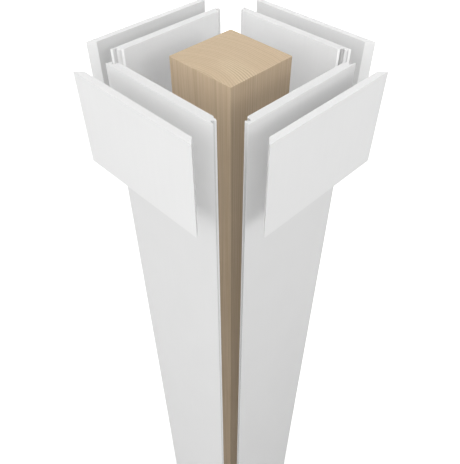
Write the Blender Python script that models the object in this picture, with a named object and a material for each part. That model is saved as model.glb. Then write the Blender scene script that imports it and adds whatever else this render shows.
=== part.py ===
"""Porch column wrap, shown apart: a square timber post, four full-length shaft boards with
lock-mitred edges round it, and four short capital boards with plain mitred ends round their top.

Metres, +Z up. The origin is at the middle of the post's foot, on the floor.
Each board stands straight out from its own side of the post, clear of every other piece.
"""

import math

import bmesh
import bpy
from mathutils import Matrix, Vector

# Driving dimensions, in metres. Each one can be changed by itself.
COLUMN_HEIGHT = 2.438          # 8 ft, the length of the post and of the shaft boards
POST_SIDE = 0.1397             # a dressed 6x6 post
POST_ARRIS = 0.0010            # small flat along each long edge of the post
SHAFT_OUTER = 0.2445           # across the outer faces of the shaft when it is closed up
SHAFT_THICKNESS = 0.0155
SHAFT_PULL = 0.0327            # how far a shaft board stands out from its closed place
CAPITAL_HEIGHT = 0.1695
CAPITAL_THICKNESS = 0.0128
CAPITAL_FIT = 0.0001           # play of the closed capital on the closed shaft, each side
CAPITAL_PULL = 0.0709          # how far a capital board stands out from its closed place

# The lock mitre along a shaft board's long edge, in shares of the board's thickness.
# The first number is the depth in from the outer face, the second the setback from the tip.
LOCK_LIP = 0.17                # mitred lip next to the outer face, and next to the inner one
LOCK_TONGUE = (0.46, 0.17)     # the tongue's tip, where its flank begins
LOCK_SHOULDER = (0.70, 0.32)   # the foot of the tongue
LOCK_GROOVE = (0.30, 0.68)     # the bottom of the groove
LOCK_MOUTH = (0.54, 0.83)      # the mouth of the groove

SIDES = ("front", "right", "back", "left")
QUARTER_TURN = math.pi / 2


def lock_mitre():
    """Edge profile from the outer face to the inner one, as (depth, setback) in shares."""
    return [
        (0.0, 0.0),
        (LOCK_LIP, LOCK_LIP),
        LOCK_TONGUE,
        LOCK_SHOULDER,
        LOCK_GROOVE,
        LOCK_MOUTH,
        (1.0 - LOCK_LIP, 1.0 - LOCK_LIP),
        (1.0, 1.0),
    ]


def shaft_outline(outer, thickness):
    """Plan of a shaft board facing -Y, with its outer face on y = 0.

    Its right edge is its left edge with depth and setback exchanged, so that the right edge of
    each board meshes with the left edge of the next one round the post.
    """
    half = outer / 2
    left = [(-half + setback * thickness, depth * thickness) for depth, setback in lock_mitre()]
    right = [(half - depth * thickness, setback * thickness) for depth, setback in lock_mitre()]
    return right + left[::-1]


def capital_outline(outer, thickness):
    """Plan of a capital board facing -Y with plain 45 degree ends, outer face on y = 0."""
    half = outer / 2
    inner = half - thickness
    return [(-half, 0.0), (half, 0.0), (inner, thickness), (-inner, thickness)]


def post_outline(side, arris):
    """Plan of the post: a square whose corners are taken off by a small flat."""
    far = side / 2
    near = far - arris
    points = []
    for turn in range(len(SIDES)):
        spin = Matrix.Rotation(turn * QUARTER_TURN, 2)
        points += [tuple(spin @ Vector(corner)) for corner in ((far, near), (near, far))]
    return points


def prism(name, outline, height):
    """Mesh of the closed solid that has this plan, from z = 0 up to height."""
    bm = bmesh.new()
    foot = bm.faces.new([bm.verts.new((x, y, 0.0)) for x, y in outline])
    extruded = bmesh.ops.extrude_face_region(bm, geom=[foot])
    raised = [item for item in extruded["geom"] if isinstance(item, bmesh.types.BMVert)]
    bmesh.ops.translate(bm, verts=raised, vec=(0.0, 0.0, height))
    bmesh.ops.recalc_face_normals(bm, faces=bm.faces)
    mesh = bpy.data.meshes.new(name)
    bm.to_mesh(mesh)
    bm.free()
    return mesh


def material(name, colour, roughness):
    """Principled material with one colour."""
    mat = bpy.data.materials.new(name)
    mat.use_nodes = True
    shader = mat.node_tree.nodes["Principled BSDF"]
    shader.inputs["Base Color"].default_value = (*colour, 1.0)
    shader.inputs["Roughness"].default_value = roughness
    shader.inputs["Metallic"].default_value = 0.0
    return mat


def place(name, mesh, finish, turn=0, outward=0.0, foot=0.0):
    """Object that carries the mesh, moved outward to its side of the post and up to foot."""
    obj = bpy.data.objects.new(name, mesh)
    bpy.context.collection.objects.link(obj)
    obj.data.materials.append(finish)
    angle = turn * QUARTER_TURN
    obj.rotation_euler = (0.0, 0.0, angle)
    obj.location = (outward * math.sin(angle), -outward * math.cos(angle), foot)
    return obj


def make_post():
    timber = material("post_timber", (0.60, 0.45, 0.29), 0.6)
    outline = post_outline(POST_SIDE, POST_ARRIS)
    place("timber_post", prism("timber_post", outline, COLUMN_HEIGHT), timber)


def make_shaft():
    """Four full-length boards, one for each side of the post."""
    finish = material("shaft_board_white", (0.87, 0.87, 0.86), 0.4)
    outline = shaft_outline(SHAFT_OUTER, SHAFT_THICKNESS)
    outward = SHAFT_OUTER / 2 + SHAFT_PULL
    for turn, side in enumerate(SIDES):
        name = f"shaft_board_{side}"
        place(name, prism(name, outline, COLUMN_HEIGHT), finish, turn, outward)


def make_capital():
    """Four short boards that close round the closed shaft, their tops level with the post's."""
    finish = material("capital_board_white", (0.88, 0.88, 0.87), 0.4)
    outer = SHAFT_OUTER + 2 * (CAPITAL_FIT + CAPITAL_THICKNESS)
    outline = capital_outline(outer, CAPITAL_THICKNESS)
    outward = outer / 2 + CAPITAL_PULL
    foot = COLUMN_HEIGHT - CAPITAL_HEIGHT
    for turn, side in enumerate(SIDES):
        name = f"capital_board_{side}"
        place(name, prism(name, outline, CAPITAL_HEIGHT), finish, turn, outward, foot)


for leftover in list(bpy.data.objects):
    bpy.data.objects.remove(leftover)
make_post()
make_shaft()
make_capital()
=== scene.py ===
"""Looks of the porch column wrap: eased boards of white cellular PVC round a softwood post.

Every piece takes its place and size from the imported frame. Metres, +Z up.
"""

import math

import bmesh
import bpy
from mathutils import Matrix, Vector


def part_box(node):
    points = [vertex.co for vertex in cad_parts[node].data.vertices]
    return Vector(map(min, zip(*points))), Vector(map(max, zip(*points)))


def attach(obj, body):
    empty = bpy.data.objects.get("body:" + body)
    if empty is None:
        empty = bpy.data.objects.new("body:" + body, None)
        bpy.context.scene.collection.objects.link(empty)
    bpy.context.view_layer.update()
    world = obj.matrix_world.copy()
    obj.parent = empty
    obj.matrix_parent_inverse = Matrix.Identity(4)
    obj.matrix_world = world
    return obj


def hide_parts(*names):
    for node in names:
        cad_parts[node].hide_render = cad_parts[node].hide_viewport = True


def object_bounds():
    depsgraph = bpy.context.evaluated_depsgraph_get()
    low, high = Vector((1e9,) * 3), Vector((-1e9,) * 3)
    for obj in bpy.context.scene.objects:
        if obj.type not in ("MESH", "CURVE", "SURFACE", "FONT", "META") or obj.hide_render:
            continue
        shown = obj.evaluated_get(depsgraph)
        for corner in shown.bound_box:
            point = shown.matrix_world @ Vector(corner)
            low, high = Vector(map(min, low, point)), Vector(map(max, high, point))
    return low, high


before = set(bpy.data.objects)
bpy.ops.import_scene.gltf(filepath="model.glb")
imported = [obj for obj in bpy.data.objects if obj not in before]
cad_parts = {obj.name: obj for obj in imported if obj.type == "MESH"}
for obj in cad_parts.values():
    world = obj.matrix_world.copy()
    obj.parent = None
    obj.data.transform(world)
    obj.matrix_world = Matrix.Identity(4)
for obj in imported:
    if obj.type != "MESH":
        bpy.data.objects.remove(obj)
cad_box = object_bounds()

SIDES = ("front", "right", "back", "left")
QUARTER_TURN = math.pi / 2
MILLIMETRE = 0.001
WHITE = (1.0, 1.0, 1.0, 1.0)

# Results of a share that rises, or falls, as its value goes from one limit to the other.
RISING = (0.0, 1.0)
FALLING = (1.0, 0.0)

# Rounding of the edges, how many faces go round it, and how much large faces rule the shading.
SHAFT_EASE = 0.35 * MILLIMETRE
CAPITAL_EASE = 0.35 * MILLIMETRE
POST_EASE = 0.3 * MILLIMETRE
EASE_STEPS = 3
EASE_PROFILE = 0.5
FACE_WEIGHT = 50

# The flat along each corner of the post.
POST_ARRIS = 1.0 * MILLIMETRE

# The lock mitre of the shaft boards, in shares of the thickness, as (depth, setback).
LOCK_MITRE = (
    (0.0, 0.0),
    (0.17, 0.17),
    (0.46, 0.17),
    (0.70, 0.32),
    (0.30, 0.68),
    (0.54, 0.83),
    (0.83, 0.83),
    (1.0, 1.0),
)

# Tones of a board: its outer face, its inner face, its sawn ends, and the cuts on the mitre's
# plane. The inner face's tone is darker than the outer face's: painted shade between the boards.
# The white is a trace warmer than neutral: this is the share of blue in it.
SHAFT_TONES = (0.87, 0.838, 0.825, 0.97)
CAPITAL_TONES = (0.94, 0.76, 0.865, 0.87)
BLUE_SHARE = 0.997

# Shares of those tones at the darkest and the lightest spots: the streaks of a face, and the open
# cells of the sawn ends, the tongue and the lips.
SKIN_SHARES = (0.982, 1.0)
SAWN_SHARES = (0.90, 1.01)
TONGUE_SHARES = (0.90, 0.96)
LIP_SHARES = (0.95, 1.0)

# Tones of the milled flanks: painted shade, darker in the slit between the boards. A pair runs
# from the edge of the tongue to the mitre's plane. Painted light makes the tongue's tip lighter
# within this reach of the board's top.
OUTWARD_FLANK_SHADE_TONES = (0.86, 0.66)
TIP_SHADE_TONES = (0.56, 0.46)
# Painted light on the tongue's tip near the board's top: its tone, and how far down it reaches.
TOP_LIT_TIP_TONE = 0.75
TOP_LIGHT_REACH = 0.11
# Painted shade on the sideways cuts behind the mitre's plane.
RECESS_SHADE_TONE = 0.50
# Painted shade in the groove, darker the deeper behind the mitre's plane.
GROOVE_SHADE_TONE = 0.66

# Depths behind the mitre's plane between which each cut takes on its look.
LIP_DEPTHS = (-1.0 * MILLIMETRE, -0.2 * MILLIMETRE)
TONGUE_DEPTHS = (-4.0 * MILLIMETRE, 0.0)
RECESS_SHADE_DEPTHS = (0.1 * MILLIMETRE, 0.4 * MILLIMETRE)
GROOVE_SHADE_DEPTHS = (0.6 * MILLIMETRE, 3.0 * MILLIMETRE)

# How far a surface faces along an axis where one kind of surface gives way to another.
FACE_NORMALS = (0.90, 0.98)
INNER_NORMALS = (0.5, 0.9)
SAWN_NORMALS = (0.5, 0.8)
FLANK_NORMALS = (0.15, 0.35)
SIDEWAYS_NORMALS = (-0.6, -0.1)

# Noises, as (scale along the piece in shares of the scale across, scale, detail, roughness).
STREAKS = (0.02, 240.0, 3.0, 0.55)
CLOUDS = (1.0, 9.0, 2.0, 0.5)
PEEL = (1.0, 420.0, 2.0, 0.5)
CUTTER_MARKS = (0.15, 1400.0, 2.0, 0.6)
WANDER = (1.0, 1.0, 2.0, 0.5)
FUZZ = (0.03, 900.0, 2.0, 0.6)
FIBRES = (0.010, 420.0, 3.0, 0.7)
BROAD_GRAIN = (0.04, 75.0, 3.0, 0.6)
PORES = (0.05, 600.0, 3.0, 0.75)

# Open cells of the boards' foam, and the distances from their middles that are dark and light.
CELL_SCALE = 1500.0
CELL_LIMITS = (0.05, 0.55)

# Shares of streaks and clouds in the shade of a face, and its contrast in colour and in gloss.
STREAK_SHARE = 0.45
CLOUD_SHARE = 0.55
COLOUR_LIMITS = (0.35, 0.65)
GLOSS_LIMITS = (0.3, 0.7)
SKIN_ROUGHNESS = (0.36, 0.46)
CUT_ROUGHNESS = 0.68
PVC_REFRACTION = 1.47
PVC_SPECULAR = 0.35

# Relief of the boards: weights of the patterns, and the depth and strength of the whole.
PEEL_RELIEF = 0.5
CUTTER_RELIEF = 0.6
CUT_RELIEF = 3.0
PVC_RELIEF = (0.03 * MILLIMETRE, 0.6)

# Growth rings. The pith of the tree lies outside the post, beyond its left face. A ring's reach
# wanders by so much along the log, and its line is fuzzy by so much.
PITH = (-0.160, -0.015, 0.0)
RING_WIDTH = 4.6 * MILLIMETRE
WANDER_SCALES = (9.0, 9.0, 1.1)
WANDER_REACH = 0.016
FUZZ_REACH = 0.0007
RING_POWER = 1.7
RING_END = (0.86, 1.0)
YEAR_SCALE = 0.73
YEAR_LIMITS = (0.3, 0.7)
YEAR_STRENGTHS = (0.30, 0.72)

# The band of slow years: its distance from the pith, its soft edges, and the places across the
# post between which it fades.
SLOW_BAND = 0.145
SLOW_BAND_EDGES = (0.010, 0.024)
SLOW_BAND_FADE = (-0.035, 0.012)
SLOW_BAND_PALE = 0.7

# Colours of the weathered sides.
SIDE_EARLY = (0.622, 0.489, 0.347, 1.0)
SIDE_LATE = (0.345, 0.250, 0.156, 1.0)
SIDE_STREAK = (0.430, 0.326, 0.214, 1.0)
SIDE_WARM = (0.515, 0.385, 0.250, 1.0)
SIDE_DARK = (0.400, 0.312, 0.222, 1.0)

# Contrast and greatest share of each layer on the sides, and how painted light lightens them
# lower down.
CROSS_NORMALS = (0.5, 0.9)
CROSS_RING_SHARES = (0.78, 1.0)
CROSS_DARK_SHARE = 0.34
FIBRE_LIMITS = (0.42, 0.66)
FIBRE_SHARES = (0.0, 0.50)
BROAD_LIMITS = (0.4, 0.62)
BROAD_SHARES = (0.0, 0.50)
FOOT_DROPS = (0.3, 1.3)
FOOT_PAINTED_LIGHT = (1.0, 1.02)

# Colours of the fresh sawn ends, and the specks of their pores.
END_NORMALS = (0.6, 0.9)
END_EARLY = (0.668, 0.522, 0.352, 1.0)
END_LATE = (0.350, 0.240, 0.135, 1.0)
END_PALE = (0.815, 0.676, 0.470, 1.0)
END_SPECK = (0.545, 0.412, 0.270, 1.0)
PORE_LIMITS = (0.42, 0.68)
PORE_SHARES = (0.0, 0.75)

# The boards round the post stay white: what the post throws back on them is neutral.
THROWN_BACK = (0.785, 0.785, 0.790, 1.0)

WOOD_GLOSS_LIMITS = (0.3, 0.7)
WOOD_ROUGHNESS = (0.58, 0.74)
WOOD_SPECULAR = 0.25
RING_RELIEF = 0.6
WOOD_RELIEF = (0.10 * MILLIMETRE, 0.5)

# Soft lights of the sky, as (direction, sharpness, strength): a broad one from the left and a
# narrower one from the front. An even light comes from all round, and the camera sees white.
SKY_LIGHTS = (
    ((-1.0, 0.0, 0.0), 1.0, 1.05),
    ((0.0, -1.0, 0.5), 30.0, 2.69),
)
EVEN_LIGHT = 0.35
BACKDROP_LEVEL = 1.0

# Distant fill lights, as (direction, strength, whether it casts shadows). The last two light the
# back of the column.
FILL_LIGHTS = (
    ((-1.0, -1.0, 0.8), 0.18, False),
    ((-1.0, -0.3, 0.5), 0.45, False),
    ((0.0, 0.0, 1.0), 0.59, False),
    ((1.0, 1.0, 0.1), 0.45, False),
    ((1.0, 1.0, 0.0), 1.25, True),
)
FILL_SPREAD = 0.5

# The large soft light in front: degrees round from the front, distances, size and power.
FRONT_LIGHT_HEADING = 10.0
FRONT_LIGHT_AWAY = 2.4
FRONT_LIGHT_RISE = 0.5
FRONT_LIGHT_SIZE = 1.4
FRONT_LIGHT_POWER = 7.6
CROWN_DROP = 0.2

# The floor: half its width, and its tone and glow. The pieces are lit by the bounce and the
# glow, and the camera sees the tone and a painted light. Glow and painted light grow from the
# first to the second of their distances from the column: the weaker painted light near the column
# darkens the floor round its foot, on top of its real shadow.
FLOOR_REACH = 30.0
FLOOR_BOUNCE = 0.25
FLOOR_GLOWS = (0.0, 0.16)
FLOOR_GLOW_DISTANCES = (1.4, 2.6)
FLOOR_TONE = 0.85
FLOOR_PAINTED_LIGHTS = (0.15, 0.60)
FLOOR_PAINTED_LIGHT_DISTANCES = (0.2, 0.8)

# The camera stands on the diagonal between the front and the left side and looks down.
IMAGE_LONG_SIDE = 464
SENSOR = 36.0
FOCAL_PIXELS = 529.9
CAMERA_AWAY = 0.7972
CAMERA_ABOVE_TOP = 0.3972
CAMERA_PITCH = math.radians(44.852)
CAMERA_HEADING = math.radians(-45.0)
CAMERA_YAW = math.radians(0.08)
CAMERA_CLIP = (0.01, 100.0)


# Helpers


class Nodes:
    """A node tree, with short calls to add and join nodes."""

    def __init__(self, tree):
        self.tree = tree

    def add(self, kind, inputs=None, **settings):
        node = self.tree.nodes.new(kind)
        for key, value in settings.items():
            setattr(node, key, value)
        self.put(node, inputs or {})
        return node

    def put(self, node, inputs):
        """Join outputs to the node's inputs, or set the inputs' own values."""
        for key, value in inputs.items():
            if isinstance(value, bpy.types.NodeSocket):
                self.tree.links.new(value, node.inputs[key])
            else:
                node.inputs[key].default_value = value

    def math(self, operation, first, second=0.0):
        return self.add("ShaderNodeMath", {0: first, 1: second}, operation=operation).outputs[0]

    def plus(self, base, value, weight):
        """The base and so much of the value."""
        return self.math("ADD", base, self.math("MULTIPLY", value, weight))

    def vector(self, operation, first, second, output=0):
        node = self.add("ShaderNodeVectorMath", {0: first, 1: second}, operation=operation)
        return node.outputs[output]

    def length(self, vector):
        node = self.add("ShaderNodeVectorMath", {0: vector}, operation="LENGTH")
        return node.outputs["Value"]

    def noise(self, where, pattern):
        """Noise of the given pattern, drawn out along the piece."""
        along, scale, detail, roughness = pattern
        drawn = self.vector("MULTIPLY", where, (1.0, 1.0, along))
        inputs = {"Vector": drawn, "Scale": scale, "Detail": detail, "Roughness": roughness}
        return self.add("ShaderNodeTexNoise", inputs).outputs["Fac"]

    def span(self, value, limits, results=RISING):
        """Map the value from one pair of limits to a pair of results, clamped."""
        inputs = {0: value, 1: limits[0], 2: limits[1], 3: results[0], 4: results[1]}
        return self.add("ShaderNodeMapRange", inputs, clamp=True).outputs[0]

    def mix(self, share, first, second):
        """Number between first and second."""
        inputs = {0: share, 2: first, 3: second}
        return self.add("ShaderNodeMix", inputs, data_type="FLOAT").outputs[0]

    def blend(self, share, first, second):
        """Colour between first and second."""
        inputs = {0: share, 6: first, 7: second}
        return self.add("ShaderNodeMix", inputs, data_type="RGBA").outputs[2]

    def bump(self, height, depth, strength):
        inputs = {"Height": height, "Distance": depth, "Strength": strength}
        return self.add("ShaderNodeBump", inputs).outputs["Normal"]

    def surface(self):
        """Place on the piece as a vector, the parts of that place, and those of the normal."""
        coords = self.add("ShaderNodeTexCoord")
        where = coords.outputs["Object"]
        place = self.add("ShaderNodeSeparateXYZ", {0: where}).outputs
        facing = self.add("ShaderNodeSeparateXYZ", {0: coords.outputs["Normal"]}).outputs
        return where, place, facing

    def camera_sees(self, seen, otherwise):
        """Shader with one look for the camera, and another by which it lights the pieces."""
        rays = self.add("ShaderNodeLightPath").outputs["Is Camera Ray"]
        return self.add("ShaderNodeMixShader", {0: rays, 1: otherwise, 2: seen}).outputs[0]


def new_material(name):
    """New material, and the helper for its node tree."""
    material = bpy.data.materials.new(name)
    material.use_nodes = True
    return material, Nodes(material.node_tree)


def new_mesh(name, bm):
    """Mesh made from bm, which is freed."""
    mesh = bpy.data.meshes.new(name)
    bm.to_mesh(mesh)
    bm.free()
    return mesh


def new_object(name, data):
    """Object that carries the data, in the scene."""
    obj = bpy.data.objects.new(name, data)
    bpy.context.collection.objects.link(obj)
    return obj


# Materials


def whites(tone, shares):
    """The whites at these shares of a tone."""
    levels = [tone * share for share in shares]
    return [(level, level, level * BLUE_SHARE, 1.0) for level in levels]


def pvc_material(name, half_width, height, tone, inner_shade_tone, end_tone, lip_tone):
    """White cellular PVC: satin faces, and matt milled edges and sawn ends with open foam cells.

    half_width is half the board's width, from which the depth of the milled groove is told.
    The sawn ends and the mitre's plane have tones of their own, and so has the inner face, darker
    as painted shade.
    """
    material, nodes = new_material(name)
    where, place, facing = nodes.surface()
    cut = nodes.span(nodes.math("ABSOLUTE", facing["Y"]), FACE_NORMALS, FALLING)
    sawn = nodes.span(nodes.math("ABSOLUTE", facing["Z"]), SAWN_NORMALS)

    # Faint streaks along the board from the extruder, broad clouding, and the cells of the foam.
    streaks = nodes.noise(where, STREAKS)
    clouds = nodes.noise(where, CLOUDS)
    shade = nodes.plus(nodes.math("MULTIPLY", streaks, STREAK_SHARE), clouds, CLOUD_SHARE)
    cells = nodes.add("ShaderNodeTexVoronoi", {"Vector": where, "Scale": CELL_SCALE})
    pits = nodes.span(cells.outputs["Distance"], CELL_LIMITS)

    streaked = nodes.span(shade, COLOUR_LIMITS)
    outer = nodes.blend(streaked, *whites(tone, SKIN_SHARES))
    # Painted shade: the inner face is darker than the outer one.
    inner = nodes.blend(streaked, *whites(inner_shade_tone, SKIN_SHARES))
    skin = nodes.blend(nodes.span(facing["Y"], INNER_NORMALS), outer, inner)
    sawn_foam = nodes.blend(pits, *whites(end_tone, SAWN_SHARES))

    # The lips on the mitre's plane are cut bright, the tongue in front of it is plainer, and
    # painted shade greys the groove behind it.
    setback = nodes.math("SUBTRACT", half_width, nodes.math("ABSOLUTE", place["X"]))
    behind = nodes.math("SUBTRACT", setback, place["Y"])
    tongue_foam = nodes.blend(pits, *whites(tone, TONGUE_SHARES))
    lip_foam = nodes.blend(pits, *whites(lip_tone, LIP_SHARES))
    milled = nodes.blend(nodes.span(behind, LIP_DEPTHS), tongue_foam, lip_foam)
    painted_groove_shade, painted_recess_shade, painted_top_light = whites(1.0, (GROOVE_SHADE_TONE, RECESS_SHADE_TONE, TOP_LIT_TIP_TONE))
    milled = nodes.blend(nodes.span(behind, GROOVE_SHADE_DEPTHS), milled, painted_groove_shade)

    # The tongue's flanks that look outward or sideways are greyer than the mitred cuts, most of
    # all towards the mitre's plane: painted shade of the slit. Painted light makes the tongue's
    # tip lighter near the top of the board, and painted shade greys the sideways cuts behind the
    # mitre's plane.
    deep = nodes.span(behind, TONGUE_DEPTHS)
    outward = nodes.blend(deep, *whites(1.0, OUTWARD_FLANK_SHADE_TONES))
    tip = nodes.blend(deep, *whites(1.0, TIP_SHADE_TONES))
    near_top = nodes.span(place["Z"], (height - TOP_LIGHT_REACH, height))
    tip = nodes.blend(nodes.math("MULTIPLY", near_top, near_top), tip, painted_top_light)
    side_cut = nodes.blend(nodes.span(behind, RECESS_SHADE_DEPTHS), tip, painted_recess_shade)
    flank = nodes.blend(nodes.span(facing["Y"], SIDEWAYS_NORMALS), outward, side_cut)
    milled = nodes.blend(nodes.span(facing["Y"], FLANK_NORMALS, FALLING), milled, flank)
    cut_colour = nodes.blend(sawn, milled, sawn_foam)

    # Relief: soft orange peel and streaks on the faces, cells and cutter marks on the cuts.
    skin_relief = nodes.plus(streaks, nodes.noise(where, PEEL), PEEL_RELIEF)
    cut_relief = nodes.plus(pits, nodes.noise(where, CUTTER_MARKS), CUTTER_RELIEF)
    cut_relief = nodes.math("MULTIPLY", cut_relief, CUT_RELIEF)
    relief = nodes.mix(cut, skin_relief, cut_relief)

    gloss = nodes.span(shade, GLOSS_LIMITS, SKIN_ROUGHNESS)
    look = {
        "Base Color": nodes.blend(cut, skin, cut_colour),
        "Roughness": nodes.mix(cut, gloss, CUT_ROUGHNESS),
        "Normal": nodes.bump(relief, *PVC_RELIEF),
        "IOR": PVC_REFRACTION,
        "Specular IOR Level": PVC_SPECULAR,
    }
    nodes.put(nodes.tree.nodes["Principled BSDF"], look)
    return material


def timber_material(name, height):
    """Pale softwood sawn from one log: rings on the ends run on as grain down the sides."""
    material, nodes = new_material(name)
    where, place, facing = nodes.surface()
    fibres = nodes.noise(where, FIBRES)
    broad = nodes.noise(where, BROAD_GRAIN)
    pores = nodes.noise(where, PORES)

    # Distance from the pith, which wanders a little along the log.
    wander = nodes.noise(nodes.vector("MULTIPLY", where, WANDER_SCALES), WANDER)
    flat = nodes.vector("MULTIPLY", nodes.vector("SUBTRACT", where, PITH), (1.0, 1.0, 0.0))
    reach = nodes.plus(nodes.length(flat), wander, WANDER_REACH)
    reach = nodes.plus(reach, nodes.noise(where, FUZZ), FUZZ_REACH)
    turns = nodes.math("DIVIDE", reach, RING_WIDTH)

    # Each ring darkens outwards and ends at once. The rings differ in strength, and a band of
    # them from slow years is darker than the rest.
    phase = nodes.math("FRACT", turns)
    rise = nodes.math("POWER", phase, RING_POWER)
    late = nodes.math("MULTIPLY", rise, nodes.span(phase, RING_END, FALLING))
    year = {"W": nodes.math("FLOOR", turns), "Scale": YEAR_SCALE, "Detail": 1.0}
    strength = nodes.add("ShaderNodeTexNoise", year, noise_dimensions="1D").outputs["Fac"]
    plain = nodes.span(strength, YEAR_LIMITS, YEAR_STRENGTHS)
    from_band = nodes.math("ABSOLUTE", nodes.math("SUBTRACT", reach, SLOW_BAND))
    band = nodes.span(from_band, SLOW_BAND_EDGES, FALLING)
    band = nodes.math("MULTIPLY", band, nodes.span(place["Y"], SLOW_BAND_FADE, FALLING))
    late = nodes.math("MULTIPLY", late, nodes.math("MAXIMUM", plain, band))

    # The weathered sides are a little darker than the fresh sawn end, and the front and back,
    # which cut across more rings, are darker than the left and right. Lower down the wood is
    # painted a little lighter, against the shade deep between the boards.
    cross_cut = nodes.span(nodes.math("ABSOLUTE", facing["Y"]), CROSS_NORMALS)
    ring_share = nodes.span(cross_cut, RISING, CROSS_RING_SHARES)
    side = nodes.blend(nodes.math("MULTIPLY", late, ring_share), SIDE_EARLY, SIDE_LATE)
    side = nodes.blend(nodes.span(fibres, FIBRE_LIMITS, FIBRE_SHARES), side, SIDE_STREAK)
    side = nodes.blend(nodes.span(broad, BROAD_LIMITS, BROAD_SHARES), side, SIDE_WARM)
    side = nodes.blend(nodes.math("MULTIPLY", cross_cut, CROSS_DARK_SHARE), side, SIDE_DARK)
    drop = nodes.math("SUBTRACT", height, place["Z"])
    # Painted light: the sides are lighter lower down.
    side = nodes.vector("MULTIPLY", side, nodes.span(drop, FOOT_DROPS, FOOT_PAINTED_LIGHT))

    fresh = nodes.blend(nodes.math("MULTIPLY", band, SLOW_BAND_PALE), END_EARLY, END_PALE)
    top = nodes.blend(late, fresh, END_LATE)
    top = nodes.blend(nodes.span(pores, PORE_LIMITS, PORE_SHARES), top, END_SPECK)
    end = nodes.span(nodes.math("ABSOLUTE", facing["Z"]), END_NORMALS)
    wood = nodes.blend(end, side, top)
    rays = nodes.add("ShaderNodeLightPath").outputs["Is Diffuse Ray"]

    grain = nodes.plus(fibres, late, RING_RELIEF)
    look = {
        "Base Color": nodes.blend(rays, wood, THROWN_BACK),
        "Roughness": nodes.span(fibres, WOOD_GLOSS_LIMITS, WOOD_ROUGHNESS),
        "Normal": nodes.bump(grain, *WOOD_RELIEF),
        "Specular IOR Level": WOOD_SPECULAR,
    }
    nodes.put(nodes.tree.nodes["Principled BSDF"], look)
    return material


# Shapes


def shaft_outline(outer, thickness):
    """Plan of a shaft board facing -Y, with its outer face on y = 0."""
    half = outer / 2
    left = [(-half + setback * thickness, depth * thickness) for depth, setback in LOCK_MITRE]
    right = [(half - depth * thickness, setback * thickness) for depth, setback in LOCK_MITRE]
    return right + left[::-1]


def capital_outline(outer, thickness):
    """Plan of a capital board facing -Y with plain 45 degree ends, outer face on y = 0."""
    half = outer / 2
    inner = half - thickness
    return [(-half, 0.0), (half, 0.0), (inner, thickness), (-inner, thickness)]


def post_outline(side, arris):
    """Plan of the post: a square whose corners are taken off by a small flat."""
    far = side / 2
    near = far - arris
    points = []
    for turn in range(len(SIDES)):
        spin = Matrix.Rotation(turn * QUARTER_TURN, 2)
        points += [tuple(spin @ Vector(corner)) for corner in ((far, near), (near, far))]
    return points


def eased_prism(name, outline, height, ease):
    """Object with this plan, from z = 0 up to height, with every edge rounded."""
    bm = bmesh.new()
    foot = bm.faces.new([bm.verts.new((x, y, 0.0)) for x, y in outline])
    extruded = bmesh.ops.extrude_face_region(bm, geom=[foot])
    raised = [item for item in extruded["geom"] if isinstance(item, bmesh.types.BMVert)]
    bmesh.ops.translate(bm, verts=raised, vec=(0.0, 0.0, height))
    bmesh.ops.recalc_face_normals(bm, faces=bm.faces)
    bmesh.ops.bevel(
        bm,
        geom=list(bm.edges),
        offset=ease,
        offset_type="OFFSET",
        segments=EASE_STEPS,
        profile=EASE_PROFILE,
        affect="EDGES",
        clamp_overlap=True,
    )
    mesh = new_mesh(name, bm)
    mesh.shade_smooth()
    obj = new_object(name, mesh)
    weighted = obj.modifiers.new("face_normals", "WEIGHTED_NORMAL")
    weighted.keep_sharp = True
    weighted.weight = FACE_WEIGHT
    return obj


def dress(piece, node, finish):
    """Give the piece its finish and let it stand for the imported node."""
    piece.data.materials.append(finish)
    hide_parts(node)
    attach(piece, "root")


def measure_board(node, turn):
    """Width, thickness, height, outward distance and foot of a board, seen from its own side."""
    low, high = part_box(node)
    spin = Matrix.Rotation(-turn * QUARTER_TURN, 3, "Z")
    corners = [spin @ corner for corner in (low, high)]
    xs = sorted(corner.x for corner in corners)
    ys = sorted(corner.y for corner in corners)
    return xs[1] - xs[0], ys[1] - ys[0], high.z - low.z, -ys[0], low.z


def make_boards(part, outline_of, ease, tones):
    """Four boards of one part, one on each side, with one finish for all."""
    finish = None
    for turn, side in enumerate(SIDES):
        node = f"{part}_board_{side}"
        width, thickness, height, outward, foot = measure_board(node, turn)
        if finish is None:
            finish = pvc_material(f"{part}_pvc", width / 2, height, *tones)
        board = eased_prism(f"{node}_finished", outline_of(width, thickness), height, ease)
        angle = turn * QUARTER_TURN
        board.rotation_euler = (0.0, 0.0, angle)
        board.location = (outward * math.sin(angle), -outward * math.cos(angle), foot)
        dress(board, node, finish)


def make_post():
    low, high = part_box("timber_post")
    height = high.z - low.z
    finish = timber_material("softwood", height)
    outline = post_outline(high.x - low.x, POST_ARRIS)
    post = eased_prism("timber_post_finished", outline, height, POST_EASE)
    post.location = ((low.x + high.x) / 2, (low.y + high.y) / 2, low.z)
    dress(post, "timber_post", finish)


# Studio


def make_world():
    """Even light all round with soft lights in it, and a white background for the camera."""
    world = bpy.data.worlds.new("studio_sky")
    bpy.context.scene.world = world
    world.use_nodes = True
    nodes = Nodes(world.node_tree)
    nodes.tree.nodes.clear()

    ray = nodes.add("ShaderNodeTexCoord").outputs["Generated"]
    total = EVEN_LIGHT
    for direction, sharpness, strength in SKY_LIGHTS:
        toward = Vector(direction).normalized()
        level = nodes.math("MAXIMUM", nodes.vector("DOT_PRODUCT", ray, toward, "Value"), 0.0)
        total = nodes.plus(total, nodes.math("POWER", level, sharpness), strength)

    glow = nodes.add("ShaderNodeBackground", {"Color": WHITE, "Strength": total})
    backdrop = nodes.add("ShaderNodeBackground", {"Color": WHITE, "Strength": BACKDROP_LEVEL})
    sky = nodes.camera_sees(backdrop.outputs[0], glow.outputs[0])
    nodes.add("ShaderNodeOutputWorld", {"Surface": sky})


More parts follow.
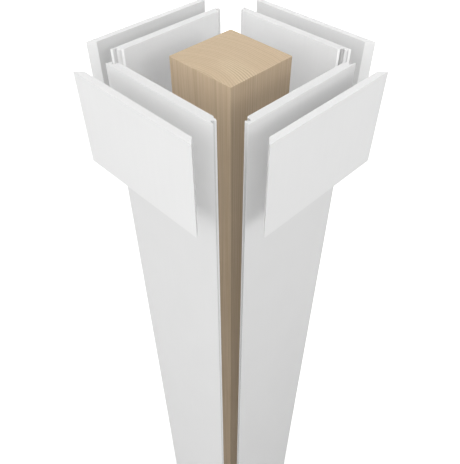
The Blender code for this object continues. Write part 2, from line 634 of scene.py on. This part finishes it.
def make_floor():
    """Plain pale floor. The camera sees it brighter than it lights the pieces, by a painted light
    that is weaker near the column and darkens the floor round its foot.

    Away from the column it glows a little, as a lit studio floor does.
    """
    bm = bmesh.new()
    bmesh.ops.create_grid(bm, x_segments=1, y_segments=1, size=FLOOR_REACH)
    floor = new_object("studio_floor", new_mesh("studio_floor", bm))
    floor.location.z = cad_box[0].z

    material, nodes = new_material("studio_floor")
    nodes.tree.nodes.clear()

    def glowing(tone, glow):
        """Matt shader of this tone that also glows."""
        matt = nodes.add("ShaderNodeBsdfDiffuse", {"Color": (tone, tone, tone, 1.0)}).outputs[0]
        light = nodes.add("ShaderNodeEmission", {"Strength": glow}).outputs[0]
        return nodes.add("ShaderNodeAddShader", {0: matt, 1: light}).outputs[0]

    away = nodes.length(nodes.add("ShaderNodeTexCoord").outputs["Object"])
    lighting = glowing(FLOOR_BOUNCE, nodes.span(away, FLOOR_GLOW_DISTANCES, FLOOR_GLOWS))
    # Painted light the camera sees: weaker near the column, which darkens the floor round its
    # foot.
    look = glowing(FLOOR_TONE, nodes.span(away, FLOOR_PAINTED_LIGHT_DISTANCES, FLOOR_PAINTED_LIGHTS))
    nodes.add("ShaderNodeOutputMaterial", {"Surface": nodes.camera_sees(look, lighting)})
    floor.data.materials.append(material)


def aim(light, direction):
    """Turn the light so that it shines along the direction."""
    light.rotation_euler = direction.to_track_quat("-Z", "Y").to_euler()


def make_front_light(top):
    """Large soft light in front of the column, aimed at its crown."""
    data = bpy.data.lights.new("front_light", "AREA")
    data.shape = "SQUARE"
    data.size = FRONT_LIGHT_SIZE
    data.energy = FRONT_LIGHT_POWER
    light = new_object("front_light", data)
    light.visible_camera = False
    angle = math.radians(FRONT_LIGHT_HEADING)
    light.location = (
        math.sin(angle) * FRONT_LIGHT_AWAY,
        -math.cos(angle) * FRONT_LIGHT_AWAY,
        top + FRONT_LIGHT_RISE,
    )
    aim(light, Vector((0.0, 0.0, top - CROWN_DROP)) - light.location)


def make_fill(name, direction, strength, shadow):
    """Distant light from the given direction."""
    data = bpy.data.lights.new(name, "SUN")
    data.energy = strength
    data.angle = FILL_SPREAD
    data.use_shadow = shadow
    aim(new_object(name, data), -Vector(direction))


def make_camera(top):
    data = bpy.data.cameras.new("camera")
    data.sensor_fit = "AUTO"
    data.sensor_width = SENSOR
    data.lens = SENSOR * FOCAL_PIXELS / IMAGE_LONG_SIDE
    data.clip_start, data.clip_end = CAMERA_CLIP
    camera = new_object("camera", data)
    camera.location = (
        CAMERA_AWAY * math.sin(CAMERA_HEADING),
        -CAMERA_AWAY * math.cos(CAMERA_HEADING),
        top + CAMERA_ABOVE_TOP,
    )
    camera.rotation_euler = (math.pi / 2 - CAMERA_PITCH, 0.0, CAMERA_HEADING + CAMERA_YAW)
    bpy.context.scene.camera = camera


def set_view():
    """Colours as they are, with no look and no change of exposure."""
    view = bpy.context.scene.view_settings
    view.view_transform = "Standard"
    view.look = "None"
    view.exposure = 0.0
    view.gamma = 1.0


column_top = cad_box[1].z
set_view()
make_camera(column_top)
make_world()
make_floor()
make_front_light(column_top)
for number, (direction, strength, shadow) in enumerate(FILL_LIGHTS):
    make_fill(f"fill_light_{number}", direction, strength, shadow)
make_post()
make_boards("shaft", shaft_outline, SHAFT_EASE, SHAFT_TONES)
make_boards("capital", capital_outline, CAPITAL_EASE, CAPITAL_TONES)
